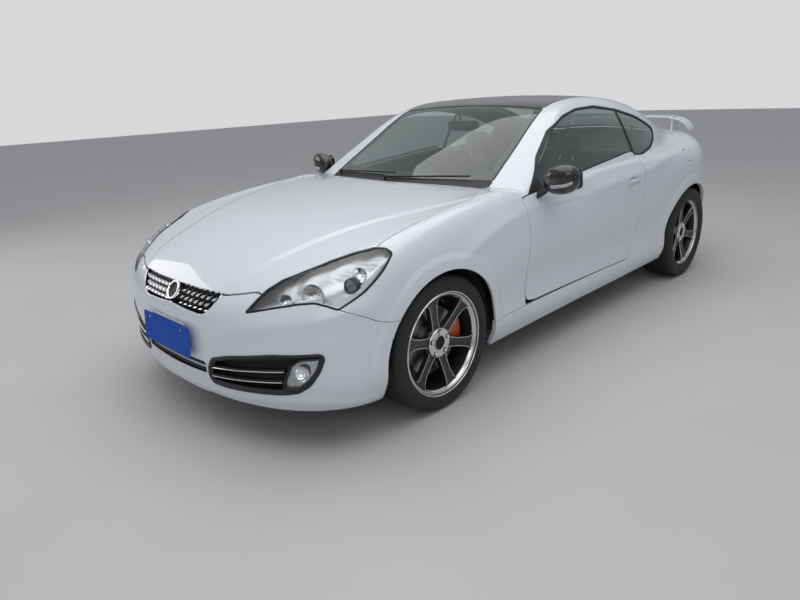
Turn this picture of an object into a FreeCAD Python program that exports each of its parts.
# A two-door coupe with its front at -Y, its left side at +X and Z up, in millimetres.
# Each panel is a strip of the body's own skin, as thick as the wall it stands for.
import os
import math
import FreeCAD
import Part

V = FreeCAD.Vector
os.makedirs("parts", exist_ok=True)

# main sizes
FRONT_AXLE = -1430.0
REAR_AXLE = 1390.0
FRONT_TRACK = 1600.0
REAR_TRACK = 1615.0
FRONT_TYRE_WIDTH = 225.0
REAR_TYRE_WIDTH = 245.0
RIM_RADIUS = 241.0
FRONT_SIDEWALL = 90.0
REAR_SIDEWALL = 98.0
FRONT_HUB_Z = RIM_RADIUS + FRONT_SIDEWALL
REAR_HUB_Z = RIM_RADIUS + REAR_SIDEWALL
DISC_RADIUS = RIM_RADIUS - 73.0
KINGPIN_X = FRONT_TRACK / 2 - 55.0
ARCH_FRONT = (FRONT_AXLE, FRONT_HUB_Z, 390.0, 358.0)
ARCH_REAR = (REAR_AXLE, REAR_HUB_Z, 396.0, 372.0)
SHUT_GAP = 5.0
SEAM = 0.5
ROOF_EDGE = 545.0

# walls
DOOR_WALL = 88.0
QUARTER_WALL = 42.0
PILLAR_WALL = 40.0
ROOF_WALL = 22.0
FENDER_WALL = 5.0
BUMPER_WALL = 10.0
BONNET_WALL = 16.0
BOOT_WALL = 24.0
GLASS_WALL = 5.0


class Curve:
    """A smooth line through rows of (place, value), straight beyond its ends."""

    def __init__(self, places, values):
        self.x = [float(p) for p in places]
        self.y = [float(v) for v in values]
        n = len(self.x)
        self.h = [self.x[i + 1] - self.x[i] for i in range(n - 1)]
        self.m = [0.0] * n
        up = [0.0] * n
        rest = [0.0] * n
        for i in range(1, n - 1):
            turn = (self.y[i + 1] - self.y[i]) / self.h[i] - (self.y[i] - self.y[i - 1]) / self.h[i - 1]
            pivot = 2 * (self.h[i - 1] + self.h[i]) - self.h[i - 1] * up[i - 1]
            up[i] = self.h[i] / pivot
            rest[i] = (6 * turn - self.h[i - 1] * rest[i - 1]) / pivot
        for i in range(n - 2, 0, -1):
            self.m[i] = rest[i] - up[i] * self.m[i + 1]

    def __call__(self, t):
        x, y, h, m = self.x, self.y, self.h, self.m
        if t <= x[0]:
            return y[0] + (t - x[0]) * ((y[1] - y[0]) / h[0] - h[0] * m[1] / 6)
        if t >= x[-1]:
            return y[-1] + (t - x[-1]) * ((y[-1] - y[-2]) / h[-1] + h[-1] * m[-2] / 6)
        i = 0
        while t > x[i + 1]:
            i += 1
        a = (x[i + 1] - t) / h[i]
        b = 1 - a
        bend = ((a ** 3 - a) * m[i] + (b ** 3 - b) * m[i + 1]) * h[i] ** 2 / 6
        return a * y[i] + b * y[i + 1] + bend


def rounded_max(a, b, r):
    near = max(0.0, 1 - abs(a - b) / r)
    return max(a, b) + r * near ** 3 / 6


# body side, one row a station: height and half width of seven lines along the car
# y, skirt z, x, rocker z, x, tuck z, x, waist z, x, crease z, x, belt z, x, shoulder z, x
SIDE_TABLE = [
    (-1900, 200, 880, 280, 915, 380, 920, 540, 925, 690, 915, 850, 868, 1000, 800),
    (-1430, 200, 880, 280, 915, 385, 925, 545, 930, 730, 918, 880, 866, 1020, 790),
    (-1050, 195, 872, 275, 905, 380, 905, 560, 918, 775, 906, 900, 858, 1040, 780),
    (-740, 195, 868, 275, 897, 375, 886, 570, 903, 800, 900, 912, 852, 1050, 775),
    (0, 200, 866, 280, 893, 375, 878, 580, 896, 825, 902, 960, 858, 1080, 790),
    (590, 205, 872, 285, 898, 385, 884, 590, 902, 840, 908, 985, 862, 1100, 795),
    (1000, 215, 880, 290, 908, 400, 904, 600, 918, 850, 918, 990, 868, 1110, 800),
    (1390, 225, 885, 300, 915, 410, 926, 610, 932, 850, 926, 990, 876, 1110, 800),
    (1750, 240, 870, 310, 900, 420, 908, 610, 918, 840, 908, 985, 850, 1100, 770),
    (2100, 250, 850, 320, 885, 430, 892, 610, 900, 830, 886, 980, 825, 1100, 750),
    (2330, 250, 865, 320, 895, 430, 900, 610, 905, 830, 892, 980, 832, 1100, 755),
]
SIDE_LINES = [(Curve([r[0] for r in SIDE_TABLE], [r[k] for r in SIDE_TABLE]),
               Curve([r[0] for r in SIDE_TABLE], [r[k + 1] for r in SIDE_TABLE]))
              for k in range(1, 15, 2)]

# upper line of bonnet and boot: y, height on the centre, drop towards the sides, corner radius
DECK_TABLE = [
    (-2330, 648, 0.55, 150), (-2235, 700, 0.56, 150), (-2100, 764, 0.58, 175), (-1900, 830, 0.52, 160),
    (-1700, 877, 0.37, 125), (-1430, 916, 0.27, 105), (-1100, 944, 0.23, 88), (-850, 955, 0.24, 76),
    (-400, 962, 0.38, 40), (0, 978, 0.30, 25), (500, 1003, 0.45, 30), (1000, 1030, 0.80, 80),
    (1400, 1062, 1.10, 130), (1750, 1084, 1.05, 125), (2000, 1078, 1.00, 110), (2200, 1060, 1.00, 98),
    (2330, 1040, 1.00, 90),
]
DECK_Z, DECK_DROP, DECK_ROUND = [Curve([r[0] for r in DECK_TABLE], [r[k] for r in DECK_TABLE]) for k in (1, 2, 3)]

# nose and tail seen from the side: height, y of the nose, and height, y of the tail
NOSE = Curve([150, 200, 260, 350, 450, 560, 640, 700, 760, 900],
             [-2262, -2288, -2306, -2316, -2314, -2302, -2278, -2242, -2195, -2060])
TAIL = Curve([150, 200, 260, 400, 550, 700, 850, 950, 1050, 1150],
             [2240, 2262, 2288, 2310, 2315, 2304, 2278, 2256, 2236, 2215])
NOSE_START, NOSE_POWER = -1750.0, 2.4
TAIL_START, TAIL_POWER = 1500.0, 2.3

# windscreen, roof and rear window: y, height on the centre, drop towards the sides
ROOF_TABLE = [
    (-1050, 838, 1.50), (-850, 945, 1.50), (-600, 1084, 1.30), (-400, 1192, 1.12), (-250, 1271, 0.86),
    (-81, 1347, 0.68), (50, 1376, 0.60), (200, 1390, 0.58), (350, 1394, 0.64), (500, 1391, 0.76),
    (700, 1378, 0.96), (900, 1352, 1.15), (1100, 1308, 1.32), (1300, 1246, 1.48), (1500, 1174, 1.60),
    (1700, 1097, 1.70), (1850, 1038, 1.74), (2000, 980, 1.78),
]
ROOF_Z, ROOF_DROP = [Curve([r[0] for r in ROOF_TABLE], [r[k] for r in ROOF_TABLE]) for k in (1, 2)]

# side windows: y, half width at 950 high, corner radius to the roof, blend into the body below
CABIN_TABLE = [
    (-1000, 790, 68, 40), (-740, 836, 75, 25), (-300, 850, 84, 14), (0, 853, 86, 10), (500, 850, 106, 16),
    (800, 832, 124, 35), (1100, 785, 128, 65), (1400, 712, 126, 85), (1700, 625, 115, 95), (1900, 565, 105, 100),
]
CABIN_X, CABIN_ROUND, CABIN_BLEND = [Curve([r[0] for r in CABIN_TABLE], [r[k] for r in CABIN_TABLE])
                                     for k in (1, 2, 3)]

station_cache = {}


def side_x(y, z):
    """Half width of the lower body at a station and a height."""
    line = station_cache.get(y)
    if line is None:
        line = Curve([c(y) for c, _ in SIDE_LINES], [w(y) for _, w in SIDE_LINES])
        station_cache[y] = line
    return line(z)


def lower_body(x, y, z):
    across = abs(x) / max(200.0, side_x(y, z))
    out = across
    if y < NOSE_START:
        along = (NOSE_START - y) / max(250.0, NOSE_START - NOSE(z))
        out = (across ** NOSE_POWER + along ** NOSE_POWER) ** (1 / NOSE_POWER)
    elif y > TAIL_START:
        along = (y - TAIL_START) / max(250.0, TAIL(z) - TAIL_START)
        out = (across ** TAIL_POWER + along ** TAIL_POWER) ** (1 / TAIL_POWER)
    return rounded_max((out - 1) * 880, z - DECK_Z(y) + DECK_DROP(y) * 1e-4 * x * x, DECK_ROUND(y))


def cabin(x, y, z):
    h = z - 950
    wall = CABIN_X(y) - 0.40 * h - 0.00035 * h * h
    if h < 0:
        wall = CABIN_X(y) - 0.40 * max(h, -110.0) + 0.6 * min(0.0, h + 110)
    return rounded_max(abs(x) - wall, z - ROOF_Z(y) + ROOF_DROP(y) * 1e-4 * x * x, CABIN_ROUND(y))


def body(x, y, z):
    """Below zero inside the car's outer skin, above zero outside it."""
    return -rounded_max(-lower_body(x, y, z), -cabin(x, y, z), CABIN_BLEND(y))


def skin(start, way, reach=1600.0, form=body):
    """The skin's point on a line that starts inside the car."""
    near, far = 0.0, reach
    for _ in range(26):
        mid = (near + far) / 2
        if form(start[0] + way[0] * mid, start[1] + way[1] * mid, start[2] + way[2] * mid) < 0:
            near = mid
        else:
            far = mid
    return [start[i] + way[i] * near for i in range(3)]


def top_z(x, y, form=body):
    return skin((x, y, 500.0), (0, 0, 1), 1000.0, form)[2]


def outer_x(y, z, form=body):
    return skin((0.0, y, z), (1, 0, 0), 1100.0, form)[0]


def inset(points, wall):
    """Points moved to the right of their line by the wall."""
    moved = []
    last = len(points) - 1
    for i, (a, b) in enumerate(points):
        p = points[max(0, i - 1)]
        q = points[min(last, i + 1)]
        run = math.hypot(q[0] - p[0], q[1] - p[1])
        moved.append((a + (q[1] - p[1]) / run * wall, b - (q[0] - p[0]) / run * wall))
    return moved


def line_through(points):
    """One smooth edge through a section's few points, evenly spaced in its own measure."""
    last = len(points) - 1
    edge = Part.BSplineCurve()
    edge.interpolate(Points=points, Parameters=[i / last for i in range(last + 1)])
    return edge.toShape()


def section(points, wall, place):
    """A closed section: the skin's points, and the same line one wall further in."""
    outer = [place(p) for p in points]
    inner = [place(p) for p in reversed(inset(points, wall))]
    return Part.Wire([line_through(outer), Part.makeLine(outer[-1], inner[0]),
                      line_through(inner), Part.makeLine(inner[-1], outer[0])])


def loft(wires):
    """A solid through its sections, straight from one to the next."""
    return Part.makeLoft(wires, True, True)


def prism(outline, axis, low, high):
    """A closed outline pushed along an axis: (y, z) along x, (x, z) along y, (x, y) along z."""
    make = {"x": lambda p: V(low, p[0], p[1]), "y": lambda p: V(p[0], low, p[1]), "z": lambda p: V(p[0], p[1], low)}
    push = {"x": V(high - low, 0, 0), "y": V(0, high - low, 0), "z": V(0, 0, high - low)}
    points = [make[axis](p) for p in outline]
    return Part.Face(Part.makePolygon(points + points[:1])).extrude(push[axis])


def box(x0, x1, y0, y1, z0, z1):
    return Part.makeBox(x1 - x0, y1 - y0, z1 - z0, V(x0, y0, z0))


def rod(radius, p, q):
    start = V(*p)
    way = V(*q) - start
    return Part.makeCylinder(radius, way.Length, start, way)


def mirror(shape):
    return shape.mirror(V(0, 0, 0), V(1, 0, 0))


def spread(outline, gap):
    """An outline grown by a gap, for the hole around a piece (outline turns to the left)."""
    grown = []
    n = len(outline)
    for i in range(n):
        p, q, r = outline[i - 1], outline[i], outline[(i + 1) % n]
        d1 = math.hypot(q[0] - p[0], q[1] - p[1])
        d2 = math.hypot(r[0] - q[0], r[1] - q[1])
        n1 = ((q[1] - p[1]) / d1, -(q[0] - p[0]) / d1)
        n2 = ((r[1] - q[1]) / d2, -(r[0] - q[0]) / d2)
        k = gap / (1 + n1[0] * n2[0] + n1[1] * n2[1])
        grown.append((q[0] + (n1[0] + n2[0]) * k, q[1] + (n1[1] + n2[1]) * k))
    return grown


def arch(wheel, grow=0.0):
    """Outline of a wheel arch seen from the side, open to below the car."""
    y, z, wide, high = wheel
    turns = [math.radians(a) for a in range(0, 181, 15)]
    line = [(y + (wide + grow) * math.cos(a), z + (high + grow) * math.sin(a)) for a in turns]
    return line + [(y - wide - 14 - grow, 60.0), (y + wide + grow, 60.0)]


nodes = {}


def save(name, shape):
    nodes[name] = shape


def both(name, shape):
    save(name + "_left", shape)
    save(name + "_right", mirror(shape))


def pair(name, shape):
    save(name, Part.makeCompound([shape, mirror(shape)]))


# side strips of the skin, between a low and a high limit at each station
def side_strip(stations, limits, wall, count, form=body):
    """limits(y) gives the low and the high point (x, z) that aim the lines from inside the car."""
    wires = []
    for y in stations:
        heart, low, high = limits(y)
        a0 = math.atan2(low[1] - heart[1], low[0] - heart[0])
        a1 = math.atan2(high[1] - heart[1], high[0] - heart[0])
        points = []
        for k in range(count):
            a = a0 + (a1 - a0) * k / (count - 1)
            p = skin((heart[0], y, heart[1]), (math.cos(a), 0, math.sin(a)), form=form)
            points.append((p[0], p[2]))
        points.reverse()
        wires.append(section(points, wall, lambda p, y=y: V(p[0], y, p[1])))
    return loft(wires)


# side outlines, (y, z), turning to the left
DOOR = [(-714, 350), (-650, 340), (0, 335), (440, 330), (474, 337), (520, 400), (560, 500), (590, 650),
        (606, 780), (609, 874), (600, 935), (588, 1003), (494, 1006), (21, 969), (-400, 931), (-700, 901),
        (-742, 897), (-745, 833), (-741, 600), (-737, 375)]
WINDOW = [(-700, 906), (-400, 936), (21, 974), (494, 1011), (552, 995), (728, 982), (945, 1010), (1106, 1062),
          (1158, 1105), (1162, 1135), (1027, 1182), (875, 1229), (606, 1286), (333, 1319), (108, 1313),
          (-72, 1281), (-265, 1213), (-476, 1078)]
DOOR_GLASS = [(-640, 870.3), (590, 870.3), (593, 1180), (594, 1281), (333, 1313),
              (108, 1307), (-72, 1275), (-265, 1206), (-476, 1070)]
# plan outlines, (x, y), turning to the left
BONNET = [(0, -2244), (200, -2238), (340, -2222), (480, -2180), (560, -2135), (610, -2020), (684, -1885),
          (697, -1700), (710, -1430), (706, -1100), (694, -797), (640, -799), (500, -817), (300, -856), (0, -886),
          (-300, -856), (-500, -817), (-640, -799), (-694, -797), (-706, -1100), (-710, -1430), (-697, -1700),
          (-684, -1885), (-610, -2020), (-560, -2135), (-480, -2180), (-340, -2222), (-200, -2238)]
SCREEN = [(0, -812), (300, -782), (500, -737), (640, -700), (612, -476), (583, -265), (556, -70), (-556, -70),
          (-583, -265), (-612, -476), (-640, -700), (-500, -737), (-300, -782)]
COWL = [(0, -880), (300, -850), (500, -811), (640, -793), (668, -791), (668, -745), (640, -743), (640, -700),
        (500, -737), (300, -782), (0, -812), (-300, -782), (-500, -737), (-640, -700), (-640, -743), (-668, -745),
        (-668, -791), (-640, -793), (-500, -811), (-300, -850)]
ROOF = [(-556, -70), (556, -70), (546, 100), (545, 930), (-545, 930), (-546, 100)]
REAR_SCREEN = [(-545, 930), (545, 930), (552, 1200), (562, 1500), (558, 1668), (300, 1680), (0, 1683),
               (-300, 1680), (-558, 1668), (-562, 1500), (-552, 1200)]
LID = [(-562, 1686), (-300, 1696), (0, 1699), (300, 1696), (562, 1686), (584, 1850), (594, 2050), (598, 2500),
       (-598, 2500), (-594, 2050), (-584, 1850)]
# upper edge of wing: y, x of the shut line
WING_EDGE = Curve([-2300, -2000, -1850, -1700, -1430, -1100, -740], [330, 560, 655, 700, 712, 708, 690])


def wing_limits(y):
    x = WING_EDGE(y) - 20
    return (0.0, 560.0), (outer_x(y, 192.0), 192.0), (x, top_z(x, y, lower_body))


wing = side_strip([-1900, -1800, -1700, -1550, -1400, -1220, -1050, -900, -740 - SHUT_GAP], wing_limits,
                  FENDER_WALL, 9, lower_body)
wing = wing.cut(prism(arch(ARCH_FRONT), "x", 0, 1200))
# below the lamp the bumper takes over, so the wing stops at its joint
BUMPER_JOINT = [(-2600, 0), (-1792, 0), (-1792, 480), (-1742, 553), (-1790, 575), (-1900, 628), (-2010, 650),
                (-2600, 650)]
wing = wing.cut(prism(spread(BUMPER_JOINT, SEAM), "x", 0, 1200))
# head lamp, seen from above: (x, y)
LAMP_TOP = [(548, -2262), (600, -2300), (860, -2200), (935, -2040), (925, -1900), (858, -1700), (835, -1682),
            (800, -1700), (735, -1800), (690, -1885), (615, -2015), (565, -2130)]
LAMP_FRONT = [(548, 646), (640, 636), (760, 640), (850, 650), (880, 668), (900, 720), (900, 900), (500, 900)]
lamp_hole = prism(spread(LAMP_TOP, SEAM), "z", 560, 1000).common(
    prism(spread(LAMP_FRONT, SEAM), "y", -2400, -1600))
wing = wing.cut(lamp_hole).cut(prism(spread(BONNET, SHUT_GAP), "z", 400, 1100))
wing = wing.cut(box(0, 1200, -1420, 0, 0, 330 + SEAM))
BONNET_PIN = (-760.0, 926.0)
# room beside the scuttle for the bonnet's hinge arm
wing = wing.cut(prism(spread(COWL, 0.3), "z", 400, 1100)).cut(box(600, 697, -804, -735, 880, 1000))
wing = wing.fuse(box(697, 712, -778, -748, 912, 943))
wing = wing.fuse(rod(4, (680, BONNET_PIN[0], BONNET_PIN[1]), (700, BONNET_PIN[0], BONNET_PIN[1])))
pair("front_wings", wing)


def roof_rail_limits(y):
    x = (WINDSCREEN_EDGE(y) if y < -70 else ROOF_EDGE) - 15
    z = top_z(x, y, cabin)
    low = SIDE_WINDOW_TOP(y)
    return (0.0, low - 150.0), (outer_x(y, low, cabin), low), (x, z)


WINDSCREEN_EDGE = Curve([-900, -745, -476, -265, -70, 60], [672, 645, 612, 583, 556, 546])
SIDE_WINDOW_TOP = Curve([-760, -700, -476, -265, -72, 108, 333, 606], [868, 912, 1081, 1216, 1284, 1316, 1322, 1289])
rail = side_strip([-742, -600, -476, -350, -200, -72, 108, 300, 470 - SEAM], roof_rail_limits, PILLAR_WALL, 5, cabin)
plan_holes = [prism(p, "z", 700, 1600) for p in (SCREEN, ROOF, REAR_SCREEN, COWL)]
for hole in plan_holes[:2] + plan_holes[3:] + [prism(WINDOW, "x", 0, 1200), prism(spread(DOOR, SHUT_GAP), "x", 0, 1200)]:
    rail = rail.cut(hole)
pair("roof_rails", rail)

# quarter panel, from the door to the lamp, up to the roof, the rear window and the boot lid
UPPER_EDGE = Curve([560, 930, 1200, 1500, 1680, 1850, 2050, 2200], [545, 545, 552, 562, 560, 584, 594, 596])


def quarter_limits(y):
    x = UPPER_EDGE(y) - 15
    low = 212.0 + (y - 590) * 0.02
    return (0.0, 640.0), (outer_x(y, low), low), (x, top_z(x, y))


FLAP = (1323.0, 925.0, 72.0, 42.0)


def oval(centre_y, centre_z, wide, high):
    turns = [math.radians(a) for a in range(0, 360, 20)]
    return [(centre_y + wide * math.cos(a), centre_z + high * math.sin(a)) for a in turns]




def flap_strip(proud, wall, grow):
    """A disc of the skin under the fuel flap's outline, or the pocket it closes."""
    wires = []
    for y in (1230, 1290, 1360, 1420):
        points = []
        for k in range(5):
            a = math.radians(26 - 16 * k / 4)
            p = skin((0.0, y, 640.0), (math.cos(a), 0, math.sin(a)))
            points.append((p[0], p[2]))
        wires.append(section(inset(points, -proud), wall, lambda p, y=y: V(p[0], y, p[1])))
    outline = oval(FLAP[0], FLAP[1], FLAP[2] + grow, FLAP[3] + grow)
    return loft(wires).common(prism(outline, "x", 500, 1200))


quarter = side_strip([470, 620, 800, 980, 1160, 1390, 1600, 1800, 1970, 2120], quarter_limits, QUARTER_WALL, 11)
quarter = quarter.cut(prism(arch(ARCH_REAR), "x", 0, 1200))
quarter = quarter.cut(prism(WINDOW, "x", 0, 1200))
quarter = quarter.cut(prism(spread(DOOR, SHUT_GAP), "x", 0, 1200))
for hole in plan_holes[1:3] + [prism(spread(LID, 0.0), "z", 700, 1300)]:
    quarter = quarter.cut(hole)
# tail lamp, seen from behind (x, z), and the joint with the bumper, seen from the side (y, z)
TAIL_LAMP = [(560, 800), (700, 790), (860, 800), (940, 850), (940, 985), (800, 1000), (640, 975), (560, 945)]
REAR_JOINT = [(1793, 0), (2500, 0), (2500, 812), (2160, 806), (2010, 700), (1850, 610), (1793, 560)]
lamp_cut = prism(spread(TAIL_LAMP, SEAM), "y", 2000, 2400)
quarter = quarter.cut(prism(spread(REAR_JOINT, SEAM), "x", 0, 1200)).cut(lamp_cut)
quarter_left = quarter.cut(flap_strip(8.0, 34.0, SHUT_GAP))
FLAP_PIN = V(890, 1247.6, 925)
flap_way = V(0.62, 0, -0.7846)
flap = flap_strip(0.0, 5.0, 0.0)
flap = flap.fuse(rod(3, FLAP_PIN, FLAP_PIN + V(0, 8, 0)))
flap = flap.fuse(rod(4, FLAP_PIN - flap_way * 4, FLAP_PIN + flap_way * 4))
flap = flap.cut(rod(2.05, FLAP_PIN - flap_way * 12, FLAP_PIN + flap_way * 12))
save("fuel_flap", flap)
quarter_left = quarter_left.cut(rod(6.5, FLAP_PIN - flap_way * 4.4, FLAP_PIN + flap_way * 4.4))
# relief for the flap's front edge, which swings in behind its pin
relief = FLAP_PIN + V(6.8, -3.5, -1.1)
quarter_left = quarter_left.cut(rod(4, relief - flap_way * 6, relief + flap_way * 6))
flap_hinge = rod(2, FLAP_PIN - flap_way * 10, FLAP_PIN + flap_way * 10)
for s in (1, -1):
    lug = FLAP_PIN + flap_way * (s * 7.2)
    flap_hinge = flap_hinge.fuse(rod(3.5, lug - flap_way * 2.8, lug + flap_way * 2.8))
    flap_hinge = flap_hinge.fuse(rod(2.6, lug, lug - V(0, 9, 0)))
save("quarter_panels", Part.makeCompound([quarter_left.fuse(flap_hinge), mirror(quarter)]))

# door: one thick strip of the side, trimmed to the shut lines, with a slot for its glass


def door_limits(y):
    top = 912.0 + (y + 742) * 0.077
    return (0.0, 640.0), (outer_x(y, 322.0), 322.0), (outer_x(y, top), top)


door = side_strip([-760, -560, -360, 0, 360, 480, 620], door_limits, DOOR_WALL, 9)
door = door.common(prism(DOOR, "x", 500, 1200))


def window_band(stations, lows, highs, inside, wall):
    def limits(y):
        low, high = lows(y), highs(y)
        return (0.0, low - 200.0), (outer_x(y, low, cabin), low), (outer_x(y, high, cabin), high)
    wires = []
    for y in stations:
        heart, low, high = limits(y)
        a0 = math.atan2(low[1] - heart[1], low[0])
        a1 = math.atan2(high[1] - heart[1], high[0])
        points = []
        for k in range(7):
            a = a1 + (a0 - a1) * k / 6
            p = skin((0, y, heart[1]), (math.cos(a), 0, math.sin(a)), form=cabin)
            points.append((p[0], p[2]))
        wires.append(section(inset(points, inside), wall, lambda p, y=y: V(p[0], y, p[1])))
    return loft(wires)


GLASS_LOW = Curve([-700, 0, 500, 620, 900, 1180], [880, 940, 960, 960, 980, 1060])
GLASS_HIGH = Curve([-700, -476, -265, -72, 108, 333, 606, 875, 1027, 1180],
                   [950, 1080, 1216, 1284, 1316, 1322, 1289, 1232, 1185, 1150])
slot = window_band([-700, -500, -300, -100, 100, 350, 610], lambda y: 850.0,
                   lambda y: min(1015.0, GLASS_HIGH(y)), 6, 20)
door = door.cut(slot.common(prism([(-670, 870), (600, 870), (600, 1020), (-670, 1020)], "x", 500, 1200)))
HINGE = (890.0, -700.0)
HINGE_HEIGHTS = (600.0, 760.0)
for z in HINGE_HEIGHTS:
    door = door.cut(box(780, 901, -770, -684, z - 20, z + 20))
    door = door.fuse(rod(8, (HINGE[0], HINGE[1], z - 18), (HINGE[0], HINGE[1], z - 0.3)))
    door = door.fuse(box(HINGE[0] - 8, HINGE[0] + 13, HINGE[1], -680, z - 18, z - 0.3))
    door = door.cut(rod(5.05, (HINGE[0], HINGE[1], z - 19), (HINGE[0], HINGE[1], z + 1)))
    door = door.cut(rod(9, (HINGE[0], HINGE[1], z), (HINGE[0], HINGE[1], z + 20)))
handle = rod(11, (outer_x(360, 826) + 22, 365, 826), (outer_x(520, 830) + 22, 515, 830))
handle = handle.fuse(rod(9, (outer_x(378, 826) - 10, 378, 826), (outer_x(378, 826) + 22, 378, 826)))
handle = handle.fuse(rod(9, (outer_x(502, 830) - 10, 502, 830), (outer_x(502, 830) + 22, 502, 830)))
door = door.fuse(handle)
both("door", door)

band = window_band([-700, -500, -300, -100, 100, 350, 610], lambda y: 862.0, GLASS_HIGH, 14, 4)
door_glass = band.common(prism(DOOR_GLASS, "x", 300, 1200))
both("door_glass", door_glass)

quarter_band = window_band([600, 760, 920, 1060, 1170], lambda y: GLASS_LOW(y) - 40,
                           lambda y: GLASS_HIGH(y) + 20, 8, 5)
quarter_window = quarter_band.common(prism(spread(WINDOW, -0.3), "x", 300, 1200))
pair("quarter_windows", quarter_window.cut(box(0, 1200, 0, 611, 500, 1500)))

# mirror on the door's front corner
MIRROR_SECTIONS = [(905, 26, 20), (925, 60, 52), (985, 74, 62), (1040, 66, 56), (1065, 40, 34)]
wires = []
for x, half_long, half_high in MIRROR_SECTIONS:
    c = V(x, -548 + (x - 905) * 0.10, 985 + (x - 905) * 0.05)
    turns = [math.radians(a) for a in range(0, 360, 45)]
    ring = [V(c.x, c.y + half_long * math.cos(t), c.z + half_high * math.sin(t)) for t in turns]
    wires.append(Part.Wire([Part.Arc(ring[i], ring[i + 1], ring[(i + 2) % 8]).toShape() for i in (0, 2, 4, 6)]))
housing = loft(wires)
housing = housing.cut(box(900, 1100, -505, -440, 900, 1100))
foot = rod(11, (872, -612, 884), (932, -556, 968))
both("door_mirror", housing.fuse(foot).cut(door))

# side sill under the door
SILL_LOW = Curve([-1045, 470], [192, 207])


def sill_limits(y):
    return (600.0, 330.0), (outer_x(y, SILL_LOW(y)), SILL_LOW(y)), (outer_x(y, 330), 330.0)


sill = side_strip([-1040, -740, -300, 150, 470 - SEAM], sill_limits, 70.0, 5)
sill = sill.cut(prism(arch(ARCH_FRONT), "x", 0, 1200)).cut(prism(spread(DOOR, SHUT_GAP), "x", 0, 1200))
pair("side_sills", sill)


# strips across the whole car, one section at each station
def cross_strip(stations, half_width, wall, count, form):
    wires = []
    for y in stations:
        w = half_width(y)
        points = []
        for k in range(count):
            x = -w + 2 * w * k / (count - 1)
            points.append((x, top_z(x, y, form)))
        wires.append(section(points, wall, lambda p, y=y: V(p[0], y, p[1])))
    return loft(wires)


bonnet_stations = [-2262, -2200, -2080, -1900, -1650, -1350, -1050, -740]
bonnet = cross_strip(bonnet_stations, lambda y: min(WING_EDGE(y) + 40, 740.0) if y > -2000 else 640.0,
                     BONNET_WALL, 9, lower_body)
bonnet = bonnet.common(prism(spread(BONNET, -1.0), "z", 400, 1100))
for s in (1, -1):
    bonnet = bonnet.fuse(box(s * 687 - 7, s * 687 + 7, -830, -752, 917, 931))
    bonnet = bonnet.cut(rod(4.05, (s * 678, BONNET_PIN[0], BONNET_PIN[1]), (s * 705, BONNET_PIN[0], BONNET_PIN[1])))
save("bonnet", bonnet)

roof = cross_strip([-80, 100, 300, 500, 700, 940], lambda y: ROOF_EDGE + 25, ROOF_WALL, 7, cabin)
save("roof_panel", roof.common(prism(spread(ROOF, -SEAM), "z", 1000, 1600)))

windscreen = cross_strip([-905, -760, -600, -450, -300, -180, -60], lambda y: WINDSCREEN_EDGE(y) + 25,
                         GLASS_WALL, 7, cabin)
windscreen = windscreen.common(prism(spread(SCREEN, -SEAM), "z", 800, 1500))
save("windscreen", windscreen)
cowl = cross_strip([-900, -870, -820, -760, -690], lambda y: 690.0, 20.0, 7, cabin)
cowl = cowl.common(prism(COWL, "z", 800, 1100))
save("cowl_panel", cowl)

rear_screen = cross_strip([920, 1080, 1230, 1380, 1520, 1620, 1700], lambda y: UPPER_EDGE(y) + 20, GLASS_WALL, 7,
                          body)
rear_screen = rear_screen.common(prism(spread(REAR_SCREEN, -SEAM), "z", 800, 1500))
save("rear_window", rear_screen)



def rear_body(x, y, z):
    """The body with the cabin's tail cut off behind the boot's front edge."""
    return body(x, y, z) if y < 1900 else lower_body(x, y, z)


# boot lid: one profile along the car at each of a few places across it
lid_wires = []
for x in (-598, -450, -250, 0, 250, 450, 598):
    points = []
    for k in range(13):
        a = math.radians(124 - 124 * k / 12)
        p = skin((x, 1850.0, 780.0), (0, math.cos(a), math.sin(a)), form=rear_body)
        points.append((p[1], p[2]))
    lid_wires.append(section(points, BOOT_WALL, lambda p, x=x: V(x, p[0], p[1])))
boot_lid = loft(lid_wires)
boot_lid = boot_lid.common(prism(spread(LID, -SHUT_GAP), "z", 700, 1300))
boot_lid = boot_lid.common(prism([(-700, 1010), (-548, 990), (-548, 818), (548, 818), (548, 990), (700, 1010),
                                  (700, 1400), (-700, 1400)], "y", 1400, 2500))
LID_PIN = V(300, 1694, 1092)
for s in (1, -1):
    boot_lid = boot_lid.fuse(box(s * 300 - 8, s * 300 + 8, 1688, 1720, 1080, 1099))
    boot_lid = boot_lid.cut(rod(5.05, (s * 300 - 12, LID_PIN.y, LID_PIN.z), (s * 300 + 12, LID_PIN.y, LID_PIN.z)))
    boot_lid = boot_lid.cut(box(s * 300 - 20, s * 300 - 8.4, 1680, 1706, 1050, 1096))
    boot_lid = boot_lid.cut(box(s * 300 + 8.4, s * 300 + 20, 1680, 1706, 1050, 1096))
save("boot_lid", boot_lid)


# wing on the boot lid: blade sections across the car
def blade(x, y, z, chord, thick):
    p = [V(x, y, z), V(x, y + chord * 0.35, z + thick), V(x, y + chord, z + thick * 0.5),
         V(x, y + chord * 0.5, z - thick * 0.35)]
    return Part.Wire([Part.Arc(p[0], p[1], p[2]).toShape(), Part.Arc(p[2], p[3], p[0]).toShape()])


lift = [(-585, 2050, 1128, 130, 14), (-480, 2030, 1166, 165, 18), (-240, 2035, 1174, 168, 18),
        (0, 2040, 1176, 168, 18), (240, 2035, 1174, 168, 18), (480, 2030, 1166, 165, 18), (585, 2050, 1128, 130, 14)]
rear_wing = loft([blade(*row) for row in lift])
for s in (-1, 1):
    top = top_z(s * 515, 2110)
    stay = prism([(2050, top - 30), (2170, top - 34), (2150, 1150), (2065, 1150)], "x",
                 s * 515 - 12, s * 515 + 12)
    rear_wing = rear_wing.fuse(stay)
save("rear_wing", rear_wing)


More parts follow.
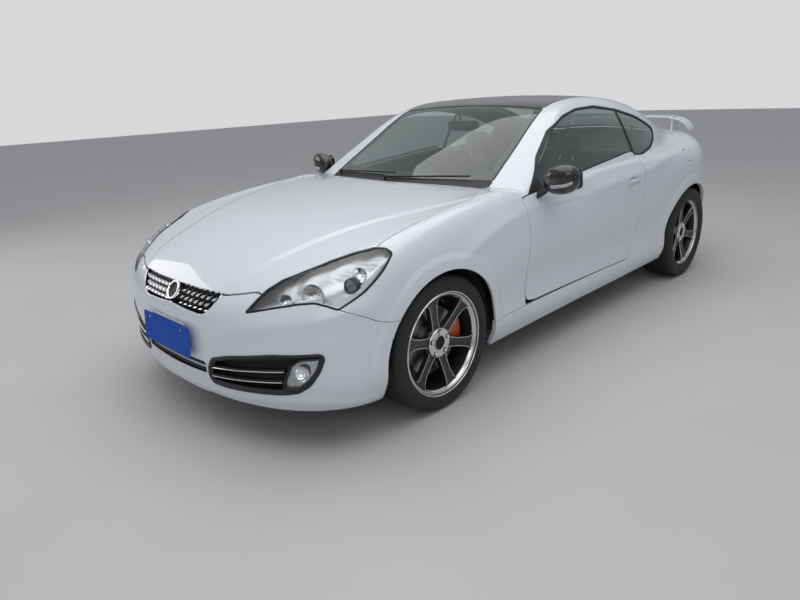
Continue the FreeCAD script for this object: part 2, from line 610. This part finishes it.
# bumpers: plan sections at a few heights
def bumper(heights, centre_y, first, last, wall, count, sunk=0.0):
    wires = []
    for z in heights:
        points = []
        for k in range(count):
            a = math.radians(first + (last - first) * k / (count - 1))
            p = skin((0, centre_y, z), (math.cos(a), math.sin(a), 0), form=lower_body)
            points.append((p[0], p[1]))
        points = inset(points, sunk) if sunk else points
        wires.append(section(points, wall, lambda p, z=z: V(p[0], p[1], z)))
    return loft(wires)


front_bumper = bumper([195, 260, 350, 450, 540, 620, 690], -1500.0, -14.0, -166.0, BUMPER_WALL, 15)
front_bumper = front_bumper.cut(prism(arch(ARCH_FRONT), "x", -1200, 1200))
front_bumper = front_bumper.common(prism(BUMPER_JOINT, "x", -1200, 1200).fuse(
    box(-546, 546, -2600, -2000, 600, 1000)))
for s in (1, -1):
    hole = lamp_hole if s == 1 else mirror(lamp_hole)
    front_bumper = front_bumper.cut(hole)
front_bumper = front_bumper.cut(prism(spread(BONNET, SHUT_GAP + 2), "z", 400, 1100))
GRILLE = [(-300, 596), (300, 596), (322, 640), (326, 712), (-326, 712), (-322, 640)]
LOWER_MOUTH = [(-235, 255), (235, 255), (262, 330), (250, 400), (-250, 400), (-262, 330)]
SIDE_MOUTH = [(318, 330), (400, 300), (640, 318), (772, 352), (842, 470), (838, 512), (700, 470), (318, 418)]
for outline in (GRILLE, LOWER_MOUTH, SIDE_MOUTH, [(-x, z) for x, z in reversed(SIDE_MOUTH)]):
    front_bumper = front_bumper.cut(prism(outline, "y", -2600, -1900))
save("front_bumper", front_bumper)

rear_bumper = bumper([215, 300, 400, 520, 640, 740, 806], 1500.0, 166.0, 14.0, BUMPER_WALL, 15)
rear_bumper = rear_bumper.cut(prism(arch(ARCH_REAR), "x", -1200, 1200))
rear_bumper = rear_bumper.common(prism(REAR_JOINT, "x", -1200, 1200))
rear_bumper = rear_bumper.cut(lamp_cut).cut(mirror(lamp_cut))
for s in (1, -1):
    rear_bumper = rear_bumper.cut(rod(46, (s * 480, 2100, 285), (s * 480, 2500, 266)))
save("rear_bumper", rear_bumper)

# lamps: solid lenses and housings that fill their openings, 60 deep
def lamp(form, front, top, deep):
    keep = prism(top, "z", 560, 1000).common(prism(front, "y", -2400, -1600))
    return form.common(keep)


lamp_wires = []
for y in (-2240, -2160, -2060, -1940, -1820, -1700, -1670):
    low, high = (0.0, 560.0), None
    points = []
    for k in range(9):
        a = math.radians(62 - 60 * k / 8)
        p = skin((300.0, y, 560.0), (math.cos(a), 0, math.sin(a)), form=lower_body)
        points.append((p[0], p[2]))
    lamp_wires.append(section(points, 45.0, lambda p, y=y: V(p[0], y, p[1])))
head_lamp = lamp(loft(lamp_wires), LAMP_FRONT, LAMP_TOP, 60)
pair("head_lamps", head_lamp)

tail_wires = []
for z in (780, 850, 920, 1010):
    points = []
    for k in range(9):
        a = math.radians(80 - 62 * k / 8)
        p = skin((300.0, 1900.0, z), (math.cos(a), math.sin(a), 0), form=lower_body)
        points.append((p[0], p[1]))
    tail_wires.append(section(points, 40.0, lambda p, z=z: V(p[0], p[1], z)))
tail_lamp = loft(tail_wires).common(prism(TAIL_LAMP, "y", 2000, 2400))
pair("tail_lamps", tail_lamp)

# grille and mouths: a sunk strip of the face inside each hole, cut through between its bars
GRILLE_ROWS = (618, 640, 662, 684)
MOUTH_ROWS = (282, 312, 342, 372)
SIDE_ROWS = (345, 372, 399)


def bars(strip, outline, rows, gap, low_x, high_x):
    piece = strip.common(prism(spread(outline, -0.3), "y", -2600, -1900))
    inner = prism(spread(outline, -12.0), "y", -2600, -1900)
    for z in rows:
        piece = piece.cut(box(low_x, high_x, -2600, -1900, z - gap / 2, z + gap / 2).common(inner))
    return piece


face = bumper([250, 300, 350, 420, 520], -1500.0, -35.0, -145.0, 14.0, 13, 4.0)
upper_face = bumper([585, 620, 655, 690, 716], -1500.0, -60.0, -120.0, 16.0, 9, 4.0)
grille = bars(upper_face, GRILLE, GRILLE_ROWS, 12, -330, 330)
grille = grille.fuse(rod(44, (0, -2302, 655), (0, -2262, 655)))
grille = grille.cut(prism(spread(BONNET, SHUT_GAP + 2), "z", 400, 1100))
save("grille", grille)
save("lower_grille", bars(face, LOWER_MOUTH, MOUTH_ROWS, 18, -262, 262))
fog = bars(face, SIDE_MOUTH, SIDE_ROWS, 14, 330, 600)
FOG = V(706, -2190, 398)
fog = fog.fuse(rod(46, (FOG.x + 22, -2170, FOG.z), (FOG.x - 10, -2080, FOG.z)))
pair("fog_lamps", fog)

front_plate = box(-220, 220, -2334, -2322, 380, 520)
front_plate.rotate(V(0, -2328, 450), V(1, 0, 0), -5.7)
bracket = box(-150, 150, -2330, -2290, 410, 490).cut(front_bumper).cut(nodes["lower_grille"])
bracket = max(bracket.Solids, key=lambda b: -b.CenterOfMass.y).cut(front_plate)
front_plate = front_plate.fuse(max(bracket.Solids, key=lambda b: b.CenterOfMass.y))
save("number_plate", front_plate)


# road wheels: a tyre and a rim turned about the axle
def turned(profile, x, y, z):
    """A profile of (across, radius) turned about the wheel's axle; across grows outwards."""
    wire = Part.makePolygon([V(a, 0, r) for a, r in profile + profile[:1]])
    shape = Part.Face(wire).revolve(V(0, 0, 0), V(1, 0, 0), 360)
    shape.translate(V(x, y, z))
    return shape


def tyre(x, y, z, width):
    half = width / 2
    radius = z
    bead = RIM_RADIUS + 0.3
    profile = [(-half + 14, bead), (-half + 14, bead + 18), (-half + 2, bead + 26), (-half, radius - 44),
               (-half + 10, radius - 14), (-half + 26, radius - 2), (0, radius), (half - 26, radius - 2),
               (half - 10, radius - 14), (half, radius - 44), (half - 2, bead + 26), (half - 14, bead + 18),
               (half - 14, bead)]
    return turned(profile, x, y, z)


SPOKES = 6


def rim(x, y, z, width):
    half = width / 2
    lip = half - 4
    barrel = turned([(-lip, RIM_RADIUS + 17), (-lip + 8, RIM_RADIUS + 17), (-lip + 9, RIM_RADIUS),
                     (lip - 9, RIM_RADIUS), (lip - 8, RIM_RADIUS + 17), (lip, RIM_RADIUS + 17),
                     (lip, RIM_RADIUS - 8), (lip - 18, RIM_RADIUS - 16), (-lip + 16, RIM_RADIUS - 16),
                     (-lip, RIM_RADIUS - 6)], x, y, z)
    hub = turned([(36, 0), (36, 78), (70, 72), (78, 56), (78, 34), (86, 34), (86, 0)], x, y, z)
    spoke = prism([(x + 38, z + 40), (x + 72, z + 50), (x + 92, z + RIM_RADIUS - 12), (x + 46, z + RIM_RADIUS - 12)],
                  "y", y - 22, y + 22)
    whole = barrel.fuse(hub)
    for k in range(SPOKES):
        arm = spoke.copy()
        arm.rotate(V(x, y, z), V(1, 0, 0), 360.0 / SPOKES * k)
        whole = whole.fuse(arm)
    bore = rod(14, (x + 30, y, z), (x + 60, y, z))
    return whole.cut(bore)


def brake_disc(x, y, z):
    return turned([(20, 80), (20, DISC_RADIUS), (-8, DISC_RADIUS), (-8, 80), (10, 80), (10, 50), (35.5, 50),
                   (35.5, 80)], x, y, z)


WHEELS = [("front", FRONT_TRACK / 2, FRONT_AXLE, FRONT_HUB_Z, FRONT_TYRE_WIDTH),
          ("rear", REAR_TRACK / 2, REAR_AXLE, REAR_HUB_Z, REAR_TYRE_WIDTH)]
for place, x, y, z, width in WHEELS:
    rim_shape = rim(x, y, z, width)
    tyre_shape = tyre(x, y, z, width)
    both("tyre_" + place, tyre_shape)
    both("wheel_" + place, Part.makeCompound([rim_shape.fuse(brake_disc(x, y, z))]))

# front uprights: hub spindle, upright arms and a brake caliper behind each front wheel
hub = (FRONT_AXLE, FRONT_HUB_Z)
upright = rod(13.7, (KINGPIN_X - 45, *hub), (KINGPIN_X + 110, *hub))
upright = upright.fuse(rod(42, (KINGPIN_X - 39, *hub), (KINGPIN_X + 21, *hub)))
upright = upright.fuse(prism([(hub[0] - 26, hub[1] - 141), (hub[0] + 26, hub[1] - 141), (hub[0] + 34, hub[1] + 95),
                              (hub[0] - 34, hub[1] + 95)], "x", KINGPIN_X - 23, KINGPIN_X + 3))
upright = upright.fuse(rod(24, (KINGPIN_X, hub[0], hub[1] + 60), (KINGPIN_X, hub[0], hub[1] + RIM_RADIUS - 52)))
caliper = turned([(-62, DISC_RADIUS - 66), (32, DISC_RADIUS - 66), (32, DISC_RADIUS + 24), (-62, DISC_RADIUS + 24)],
                 FRONT_TRACK / 2, *hub)
caliper = caliper.common(prism([hub, (hub[0] + 400, hub[1] - 180), (hub[0] + 400, hub[1] + 210)], "x", 0, 1200))
caliper = caliper.cut(turned([(-14, 0), (-14, DISC_RADIUS + 8), (28, DISC_RADIUS + 8), (28, 0)],
                             FRONT_TRACK / 2, *hub))
upright = upright.fuse(caliper).fuse(box(KINGPIN_X - 21, KINGPIN_X + 1, hub[0] + 20, hub[0] + DISC_RADIUS - 50,
                                         hub[1] - 34, hub[1] + 34))
both("front_upright", upright)

# underbody: floor, tunnel, rails, boot floor and bulkheads in one pressed shell
FLOOR_TOP = 200.0
floor = prism([(-700, 165), (-150, 165), (-128, 300), (-90, 345), (90, 345), (128, 300), (150, 165), (700, 165),
               (700, 190), (176, 190), (152, 310), (104, 371), (-104, 371), (-152, 310), (-176, 190), (-700, 190)],
              "y", -700, 820)
rear_floor = prism([(820, 165), (820, 385), (1010, 385), (1075, 430), (1160, 520), (1500, 520), (1560, 440),
                    (2240, 440), (2240, 416), (1545, 416), (1488, 496), (1170, 496), (1090, 412), (1020, 361),
                    (845, 361), (845, 165)], "x", -560, 560)
rear_floor = rear_floor.cut(box(-150, 150, 800, 850, 160, 300))
# the boot floor's rear corners follow the bumper's round
for s in (1, -1):
    rear_floor = rear_floor.cut(prism([(s * 360, 2241), (s * 565, 2120), (s * 565, 2241)], "z", 400, 560))
front_bulkhead = prism([(-700, 165), (-720, 165), (-860, 330), (-860, 850), (-840, 850), (-840, 335),
                        (-700, 190)], "x", -560, 560).cut(box(-150, 150, -900, -690, 100, 360))
underbody = floor.fuse(rear_floor).fuse(front_bulkhead)
for s in (1, -1):
    rail_y = prism([(-2150, 420), (-1200, 420), (-860, 330), (-860, 430), (-1200, 520), (-2150, 520)], "x",
                   s * 430, s * 490)
    underbody = underbody.fuse(rail_y)
    underbody = underbody.fuse(box(min(s * 700, s * 770), max(s * 700, s * 770), -700, 820, 165, 190))
    pillar = box(700, 850, -800, -752, 335, 850).fuse(box(700, 804.3, -800, -752, 165, 340))
    pillar = pillar.fuse(box(560, 720, -860, -840, 330, 860))
    pillar = pillar.fuse(prism([(560, -860), (700, -800), (700, -752), (560, -840)], "z", 165, 850))
    for z in HINGE_HEIGHTS:
        leaf = box(828, 836, -760, -694, z, z + 18).fuse(box(828, HINGE[0], -705, -695, z, z + 18))
        leaf = leaf.fuse(rod(8, (HINGE[0], HINGE[1], z), (HINGE[0], HINGE[1], z + 18)))
        pillar = pillar.fuse(leaf.fuse(rod(5, (HINGE[0], HINGE[1], z - 18), (HINGE[0], HINGE[1], z + 18))))
    under_wing = [(y, top_z(720, y, lower_body) - 6.3) for y in (-840, -1000, -1200, -1430, -1600, -1750)]
    apron = prism(under_wing + [(-1750, 690), (-840, 690)], "x", 717, 721)
    apron = apron.cut(rod(385.3, (700, FRONT_AXLE, FRONT_HUB_Z), (740, FRONT_AXLE, FRONT_HUB_Z)))
    pillar = pillar.fuse(apron)
    underbody = underbody.fuse(pillar if s == 1 else mirror(pillar))
underbody = underbody.fuse(box(-560, 560, -2190, -2140, 455, 545))
save("underbody", underbody)

# wheel housings over each wheel
def housing_over(wheel, x0, x1, radius):
    y, z = wheel[0], wheel[1]
    ring = rod(radius + 4, (x0, y, z), (x1, y, z)).cut(rod(radius, (x0 - 1, y, z), (x1 + 1, y, z)))
    ring = ring.cut(box(x0 - 1, x1 + 1, y - 500, y + 500, z - 500, z - 60))
    return ring


housings = [housing_over(ARCH_FRONT, 490.3, 866, 381), housing_over(ARCH_REAR, 560.3, 860, 388).cut(quarter)]
housings = [max(h.Solids, key=lambda piece: piece.Volume) for h in housings]
save("wheel_housings", Part.makeCompound(housings + [mirror(h) for h in housings]))

# engine as one plain block, with its gearbox, and the front subframe with the lower arms
engine = box(-200, 200, -1850, -1180, 300, 720).fuse(box(-84, 84, -1180, -560, 240, 335))
save("engine", engine)
subframe = box(-480, 480, -1480, -1380, 190, 250)
for s in (1, -1):
    subframe = subframe.fuse(prism([(s * 400, -1490), (s * 700, -1450), (s * 768, -1430), (s * 700, -1410),
                                    (s * 400, -1340)], "z", 168, 189.7))
    subframe = subframe.fuse(box(min(s * 400, s * 470), max(s * 400, s * 470), -1490, -1340, 168, 192))
    subframe = subframe.fuse(rod(30, (s * 150, -1430, 240), (s * 150, -1430, 299.9)))
    subframe = subframe.fuse(rod(22, (s * 460, FRONT_AXLE, 200), (s * 460, FRONT_AXLE, 419.9)))
save("front_subframe", subframe)
rear_axle = box(-330, 330, 1290, 1480, 250, 330)
rear_axle = rear_axle.fuse(box(-110, 110, 1270, 1500, 240, 440))
for s in (1, -1):
    x = REAR_TRACK / 2
    rear_axle = rear_axle.fuse(rod(16, (s * 100, REAR_AXLE, REAR_HUB_Z), (s * 720, REAR_AXLE, REAR_HUB_Z)))
    rear_axle = rear_axle.fuse(rod(46, (s * 712, REAR_AXLE, REAR_HUB_Z), (s * (x - 34), REAR_AXLE, REAR_HUB_Z)))
    rear_axle = rear_axle.fuse(rod(13.7, (s * 712, REAR_AXLE, REAR_HUB_Z), (s * (x + 55), REAR_AXLE, REAR_HUB_Z)))
    rear_axle = rear_axle.fuse(prism([(s * 300, 1300), (s * 725, 1360), (s * 725, 1420), (s * 300, 1470)], "z",
                                     280, 304))
    rear_axle = rear_axle.fuse(rod(24, (s * 300, 1385, 320), (s * 300, 1385, 495.9)))
save("rear_axle", rear_axle)
exhaust = rod(28, (0, -900, 195), (0, 900, 195))
exhaust = exhaust.fuse(box(-60, 420, 1700, 1960, 200, 330))
exhaust = exhaust.fuse(rod(28, (0, 880, 195), (190, 1720, 212)))
for y in (-400, 100, 600):
    exhaust = exhaust.fuse(rod(6, (0, y, 200), (0, y, 344.9)))
for x in (0, 340):
    exhaust = exhaust.fuse(rod(6, (x, 1830, 320), (x, 1830, 415.9)))
for s in (1, -1):
    exhaust = exhaust.fuse(rod(36, (s * 480, 1900, 290), (s * 480, 2312, 271)))
exhaust = exhaust.fuse(rod(26, (-480, 1930, 285), (0, 1930, 285))).fuse(rod(26, (400, 1930, 285), (480, 1930, 285)))
save("exhaust", exhaust)

# cabin
dash = prism([(-839.9, 640), (-560, 640), (-480, 700), (-470, 800), (-520, 870), (-640, 895), (-700, 895),
              (-740, 860), (-839.9, 850)], "x", -620, 620)
for s in (1, -1):
    dash = dash.cut(box(min(s * 559.7, s * 621), max(s * 559.7, s * 621), -850, -797, 600, 900))
save("dashboard", dash)
console = prism([(-470, 371.5), (560, 371.5), (560, 520), (-150, 530), (-380, 600), (-470, 640)], "x", -110, 110)
save("centre_console", console)

SEAT_BASE = [(-250, 300), (230, 270), (260, 330), (250, 400), (-200, 440), (-270, 400)]
SEAT_BACK = [(215, 405), (300, 330), (350, 380), (520, 880), (510, 960), (440, 965), (400, 900), (240, 450)]
HEADREST = [(455, 985), (520, 985), (545, 1080), (520, 1150), (470, 1150), (445, 1080)]


def seat(x):
    base = prism(SEAT_BASE, "x", x - 225, x + 235)
    back = prism(SEAT_BACK, "x", x - 225, x + 235)
    head = prism(HEADREST, "x", x - 120, x + 120)
    posts = rod(7, (x - 50, 480, 940), (x - 50, 490, 1000)).fuse(rod(7, (x + 50, 480, 940), (x + 50, 490, 1000)))
    rails = box(x - 190, x - 160, -180, 200, 190, 310).fuse(box(x + 160, x + 190, -180, 200, 190, 310))
    return base.fuse(back).fuse(head).fuse(posts).fuse(rails)


pair("front_seats", seat(390))
rear_seat = prism([(822, 385), (1005, 385), (1075, 450), (1150, 560), (1215, 950), (1180, 990), (1105, 965),
                   (1020, 580), (960, 525), (725, 565), (690, 500), (720, 420)], "x", -540, 540)
save("rear_seat", rear_seat)
shelf = prism([(1207, 960), (1595, 975), (1690, 1016), (1700, 1030), (1700, 1040), (1686, 1040), (1590, 990),
               (1207, 975)], "x", -500, 500)
for s in (1, -1):
    shelf = shelf.cut(box(min(s * 340, s * 510), max(s * 340, s * 510), 1620, 1720, 900, 1100))
    for x0, x1 in ((-15, -8.5), (8.5, 15)):
        shelf = shelf.fuse(box(s * 300 + x0, s * 300 + x1, 1688, 1700, 1030, 1098))
    shelf = shelf.fuse(rod(5, (s * 300 - 15, LID_PIN.y, LID_PIN.z), (s * 300 + 15, LID_PIN.y, LID_PIN.z)))
save("parcel_shelf", shelf)

WHEEL_CENTRE = V(390, -330, 800)
column_way = V(0, -math.cos(math.radians(24)), -math.sin(math.radians(24)))
steering = Part.makeTorus(180, 14, WHEEL_CENTRE, column_way)
steering = steering.fuse(Part.makeCylinder(55, 40, WHEEL_CENTRE - column_way * 0, column_way))
for a in (0, 180, 270):
    t = math.radians(a)
    side = V(1, 0, 0)
    up = column_way.cross(side)
    tip = WHEEL_CENTRE + side * (170 * math.cos(t)) + up * (170 * math.sin(t))
    start = WHEEL_CENTRE + column_way * 14
    steering = steering.fuse(Part.makeCylinder(12, (tip - start).Length, start, tip - start))
save("steering_wheel", steering)
column = Part.makeCylinder(30, 160, WHEEL_CENTRE + column_way * 40.3, column_way)
nodes["dashboard"] = nodes["dashboard"].fuse(column)


wipers = []
for x0, y0, x1, y1 in ((-60, -828, 505, -728), (-575, -738, -15, -790)):
    low, high = top_z(x0, y0, cabin), top_z(x1, y1, cabin)
    arm = rod(5, (x0, y0, low + 20), (x1, y1, high + 22)).fuse(rod(9, (x0, y0, low + 2), (x0, y0, low + 26)))
    wipers.append(arm)
save("wipers", Part.makeCompound(wipers))

for name in nodes:
    shape = nodes[name]
    shape.exportStep("parts/%s.step" % name)
